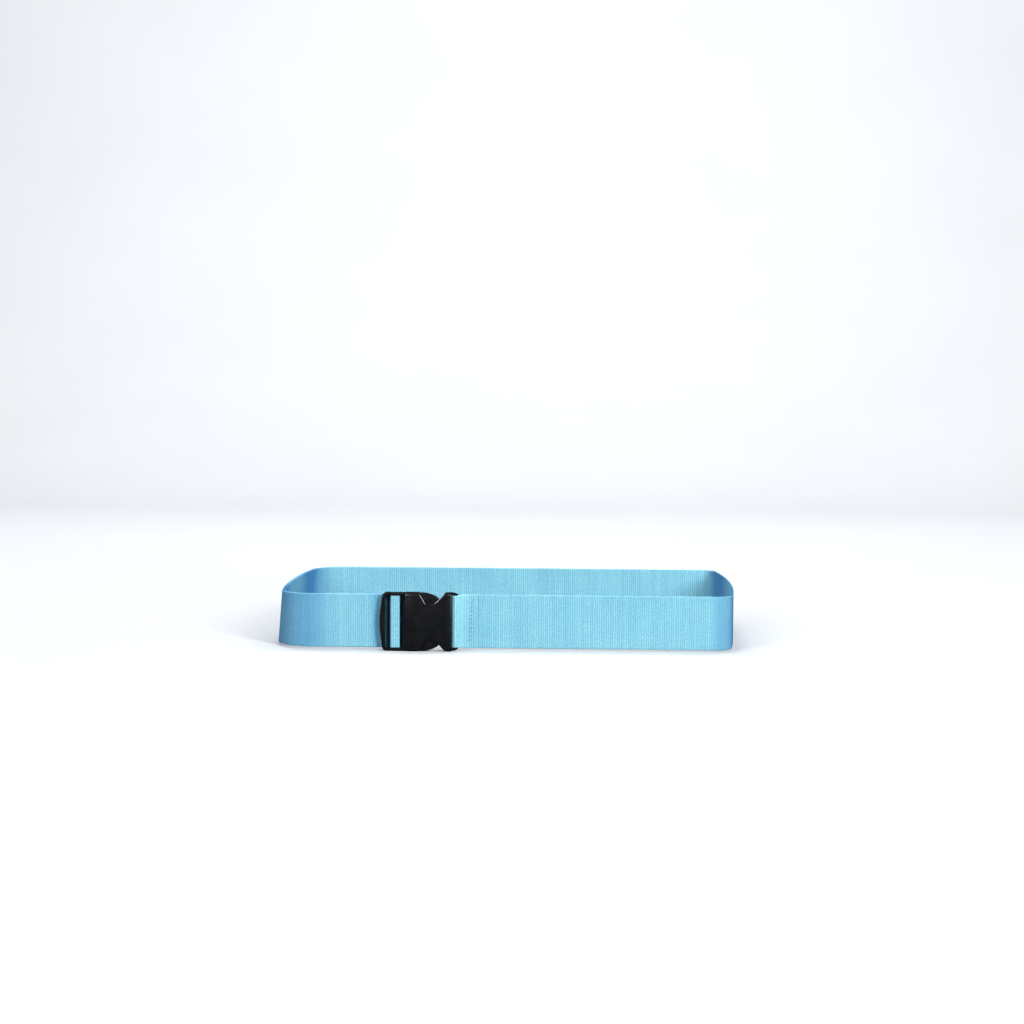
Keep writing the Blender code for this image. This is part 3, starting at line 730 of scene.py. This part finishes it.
def plug_moulding(plastic):
    """Adjuster with its two slots, the neck that enters the socket and the guide blade."""
    bulge = 3 * MM
    shoulder = MOUTH - 0.4 * MM
    plug = block("plug_moulding", (FRAME_LEFT + bulge, shoulder), FRAME_OUT,
                 (-FRAME_HALF, FRAME_HALF))
    pick(plug, 'EDGE', lambda e: near(abs(middle_of(e).x - FRAME_LEFT), bulge)
         and not near(e.verts[0].co.z, e.verts[1].co.z))
    bpy.ops.mesh.subdivide(number_cuts=23)
    done()
    for corner in plug.data.vertices:
        if corner.co.x < FRAME_LEFT + bulge + MM:
            corner.co.x -= bulge * (1 - (corner.co.z / FRAME_HALF) ** 2)
    pick(plug, 'EDGE', lambda e: runs_out(e) and near(abs(middle_of(e).z), FRAME_HALF)
         and middle_of(e).x < FRAME_LEFT + bulge + MM)
    round_picked(3.6 * MM, 6)
    combine(plug, slot_cutter("outer_slot", OUTER_SLOT_LEFT, CENTRE_BAR_LEFT, 2 * MM, 0.8 * MM),
            'DIFFERENCE')
    combine(plug, slot_cutter("inner_slot", CENTRE_BAR_RIGHT, INNER_SLOT_RIGHT, 0.8 * MM, 2.5 * MM),
            'DIFFERENCE')
    recess = block("recess", (CENTRE_BAR_LEFT - MM, CENTRE_BAR_RIGHT + MM),
                   (CENTRE_BAR_TOP, FRAME_OUT[1] + MM), (-SLOT_HALF, SLOT_HALF))
    combine(plug, recess, 'DIFFERENCE')
    neck = block("neck", (shoulder - MM, shoulder + 2.6 * MM), (3.8 * MM, 10 * MM),
                 (-24.4 * MM, 24.4 * MM))
    combine(plug, neck, 'UNION')
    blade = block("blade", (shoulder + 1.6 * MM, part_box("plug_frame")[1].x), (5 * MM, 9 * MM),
                  (-3.5 * MM, 3.5 * MM))
    combine(plug, blade, 'UNION')
    soften(plug, 0.9 * MM)
    finished(plug, plastic, "strap", "plug_frame")


def prong_moulding(name, side, plastic, node):
    """Springy side prong: a thin arm, a locking shoulder and a thumb pad with a crowned edge."""
    arm_half = 1.5 * MM
    pivot = 20.1 * MM
    shoulder = PRONG_ROOT + 11.6 * MM
    prong = block(name, (PRONG_ROOT, shoulder + MM), PRONG_OUT, (pivot - arm_half, pivot + arm_half))
    pad = block("pad", (shoulder, PRONG_TIP), PRONG_OUT, (14 * MM, PAD_OUTER))
    crown = 25 * MM
    pick(pad, 'EDGE', lambda e: near(middle_of(e).z, PAD_OUTER)
         and not near(e.verts[0].co.x, e.verts[1].co.x))
    bpy.ops.mesh.subdivide(number_cuts=15)
    done()
    for corner in pad.data.vertices:
        if near(corner.co.z, PAD_OUTER):
            along = max(corner.co.x - shoulder - MM, 0)
            corner.co.z -= crown - math.sqrt(crown ** 2 - along ** 2)
            corner.co.x -= 1.1 * MM * near(corner.co.x, shoulder)
    combine(prong, pad, 'UNION')
    if side < 0:
        turn_over(prong)
    soften(prong, 0.5 * MM)
    finished(prong, plastic, name.replace("_moulding", ""), node)


# ---------------------------------------------------------------- sewing

def stitch(length, thick):
    """One stitch along X: thread that dips into the webbing at both ends."""
    bpy.ops.object.select_all(action='DESELECT')
    bpy.ops.mesh.primitive_cylinder_add(vertices=8, radius=thick / 2, depth=length, calc_uvs=True,
                                        rotation=(0, math.radians(90), 0))
    thread = bpy.context.object
    bpy.ops.object.transform_apply(location=True, rotation=True, scale=True)
    thread.data.uv_layers[0].name = "twist"
    pick(thread, 'EDGE', lambda e: not near(e.verts[0].co.x, e.verts[1].co.x))
    bpy.ops.mesh.subdivide(number_cuts=5)
    done()
    for point in thread.data.vertices:
        from_middle = abs(2 * point.co.x / length)
        point.co *= Vector((1, 1 - 0.3 * from_middle ** 4, 1 - 0.3 * from_middle ** 4))
        point.co.y += 0.9 * thick * from_middle ** 3
    thread.data.shade_smooth()
    return thread


def sew(name, places, length, thick, finish, body, node, facing=-1):
    """Row of stitches: places hold X, Z and the lean of each, with the face they lie on."""
    model = stitch(length, thick)
    solid = bmesh.new()
    for x, y, z, lean in places:
        copy = model.data.copy()
        copy.transform(Matrix.Translation((x, y, z))
                       @ Matrix.Rotation(math.radians(0 if facing < 0 else 180), 4, 'Z')
                       @ Matrix.Rotation(math.radians(-lean), 4, 'Y'))
        solid.from_mesh(copy)
        bpy.data.meshes.remove(copy)
    row = bpy.data.meshes.new(name)
    solid.to_mesh(row)
    solid.free()
    bpy.data.objects.remove(model, do_unlink=True)
    row.materials.append(finish)
    piece = bpy.data.objects.new(name, row)
    bpy.context.collection.objects.link(piece)
    face_outwards(piece)
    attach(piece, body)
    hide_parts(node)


# ---------------------------------------------------------------- studio

def floor_and_sweep(lowest):
    """Pale floor that sweeps up to a wall well behind the strap."""
    bpy.ops.object.select_all(action='DESELECT')
    bpy.ops.mesh.primitive_plane_add(size=1, location=(0, 0, lowest))
    floor = bpy.context.object
    floor.name = floor.data.name = "studio_sweep"
    floor.scale = (9, 7, 1)
    bpy.ops.object.transform_apply(location=True, rotation=True, scale=True)
    pick(floor, 'EDGE', lambda e: middle_of(e).y > 3)
    bpy.ops.mesh.extrude_region_move(TRANSFORM_OT_translate={"value": (0, 0, 3.5)})
    done()
    pick(floor, 'EDGE', lambda e: near(middle_of(e).y, 3.5, MM) and near(middle_of(e).z, lowest, MM)
         and not near(e.verts[0].co.x, e.verts[1].co.x))
    round_picked(1.6, 16)
    floor.data.materials.append(painted_board("painted_board", "#d8dadc"))
    floor.data.shade_smooth()
    # Unlike a real floor, this one gives the strap no bounced light and no reflection
    floor.visible_diffuse = False
    floor.visible_glossy = False


def softbox(name, place, aim, size, watts, on_cloth=True, on_gloss=True):
    """Soft rectangular light that the camera doesn't see.

    Without on_cloth it lights nothing diffusely, and without on_gloss it makes no highlight.
    """
    light = bpy.data.lights.new(name, 'AREA')
    light.shape = 'RECTANGLE'
    light.size, light.size_y = size
    light.energy = watts
    holder = bpy.data.objects.new(name, light)
    bpy.context.collection.objects.link(holder)
    holder.location = place
    holder.rotation_euler = (Vector(aim) - Vector(place)).to_track_quat('-Z', 'Y').to_euler()
    holder.visible_camera = False
    holder.visible_diffuse = on_cloth
    holder.visible_glossy = on_gloss


def studio():
    """Plain soft studio: two front softboxes, one overhead, a strip to each side that makes only
    highlights, and a wash on the backdrop.
    """
    world = bpy.data.worlds.new("studio_air")
    bpy.context.scene.world = world
    world.use_nodes = True
    background = world.node_tree.nodes["Background"]
    background.inputs["Color"].default_value = paint("#b9d5fa")
    background.inputs["Strength"].default_value = 0.11
    strap = (0, FRONT_Y, 0)
    softbox("key_left", (-1.25, -2.1, 1.1), strap, (0.6, 1.3), 31)
    softbox("key_right", (1.2, -1.9, 0.9), strap, (0.55, 1.2), 51)
    softbox("edge_left", (-1.73, -0.5, 1.35), strap, (0.5, 1.2), 105, on_cloth=False)
    softbox("edge_right", (2.1, -0.45, 1.0), strap, (0.5, 1.2), 105, on_cloth=False)
    softbox("overhead", (-0.1, -0.3, 2.3), (0, 0, 0), (1.1, 0.6), 18, on_gloss=False)
    softbox("backdrop_wash", (0, 1.0, 2.8), (0, 3.0, 0.5), (4.0, 1.0), 135, on_gloss=False)
    bpy.context.scene.view_settings.view_transform = 'Standard'


def camera():
    """Camera a little to the right of the strap and above it, as one stands before a case."""
    distance = 1.8
    azimuth, elevation = math.radians(2.2), math.radians(7.0)
    roll = math.radians(0.31)
    view = bpy.data.cameras.new("camera")
    view.angle = math.radians(29.6)
    holder = bpy.data.objects.new("camera", view)
    bpy.context.collection.objects.link(holder)
    strap = Vector((0, FRONT_Y, 0))
    back = Vector((math.sin(azimuth) * math.cos(elevation),
                   -math.cos(azimuth) * math.cos(elevation), math.sin(elevation)))
    holder.location = strap + back * distance
    aim = Vector((2.3 * MM, FRONT_Y, 101.8 * MM))
    turn = (aim - holder.location).to_track_quat('-Z', 'Y')
    holder.rotation_euler = (turn.to_matrix() @ Matrix.Rotation(roll, 3, 'Z')).to_euler()
    view.clip_start, view.clip_end = 0.05, 50
    bpy.context.scene.camera = holder


# ---------------------------------------------------------------- the strap

def make_strap():
    """Webbing, buckle and sewing, each on its body."""
    cloth = woven_polypropylene()
    plastic = moulded_acetal()
    # Painted shade: the bar tack's thread is the box stitching's blue, coloured darker as if lying in
    # shade
    painted_shade_thread = sewing_thread("sewing_thread_painted_shade", "#14639a", "#3a8fc4")
    thread = sewing_thread("sewing_thread", "#6fc0de", "#a5e2f2")

    strand = webbing("webbing_strand", strand_line(), 3, cloth)
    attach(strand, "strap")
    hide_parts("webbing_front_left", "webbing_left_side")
    tail = webbing("webbing_tail", tail_line(), 7, cloth)
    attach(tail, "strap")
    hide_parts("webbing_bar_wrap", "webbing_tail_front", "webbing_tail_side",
                "webbing_tail_back")
    loop = webbing("webbing_loop", loop_line(), 11, cloth, sealed=True)
    # The line from start to end slants, so that the back and the right side stay with the strap
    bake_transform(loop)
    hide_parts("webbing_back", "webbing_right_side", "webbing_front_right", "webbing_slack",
                "webbing_socket_fold")

    socket_moulding(plastic)
    plug_moulding(plastic)
    prong_moulding("prong_upper_moulding", 1, plastic, "plug_prong_upper")
    prong_moulding("prong_lower_moulding", -1, plastic, "plug_prong_lower")

    thick = 0.5 * MM
    fold_face = FRONT_Y - TAIL_OUT - WEB_THICK / 2 - 0.05 * MM
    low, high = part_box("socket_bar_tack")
    tack_x, tack_half = (low.x + high.x) / 2, high.z
    pitch = 4.1 * MM
    count = round(2 * tack_half / pitch)
    tack = [(tack_x + 1.0 * MM * z / tack_half, fold_face, z, 35)
            for z in [tack_half * (2 * i / count - 1) for i in range(count + 1)]]
    sew("bar_tack_stitching", tack, 3.9 * MM, thick, painted_shade_thread, "socket", "socket_bar_tack")

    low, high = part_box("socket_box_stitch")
    left, right, half = low.x + thick / 2, high.x, high.z - thick / 2
    rows = [(left + (right - left) * (i + 0.5) / 2, fold_face, side * half, 20)
            for side in (-1, 1) for i in range(2)]
    column = [(left, fold_face, half * (2 * (i + 0.5) / 13 - 1), 90) for i in range(13)]
    sew("box_stitching", rows + column, 2.6 * MM, thick, thread, "socket", "socket_box_stitch")

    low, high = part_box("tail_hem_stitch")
    hem_x, hem_face, hem_half = (low.x + high.x) / 2, low.y - GAP, high.z
    count = round(2 * hem_half / (pitch / 2))
    hem = [(hem_x, hem_face, hem_half * (2 * (i + 0.5) / count - 1), 35 * (-1) ** i)
           for i in range(count)]
    sew("hem_stitching", hem, 3.4 * MM, thick, thread, "strap", "tail_hem_stitch", 1)


make_strap()
floor_and_sweep(CAD_BOX[0].z)
studio()
camera()
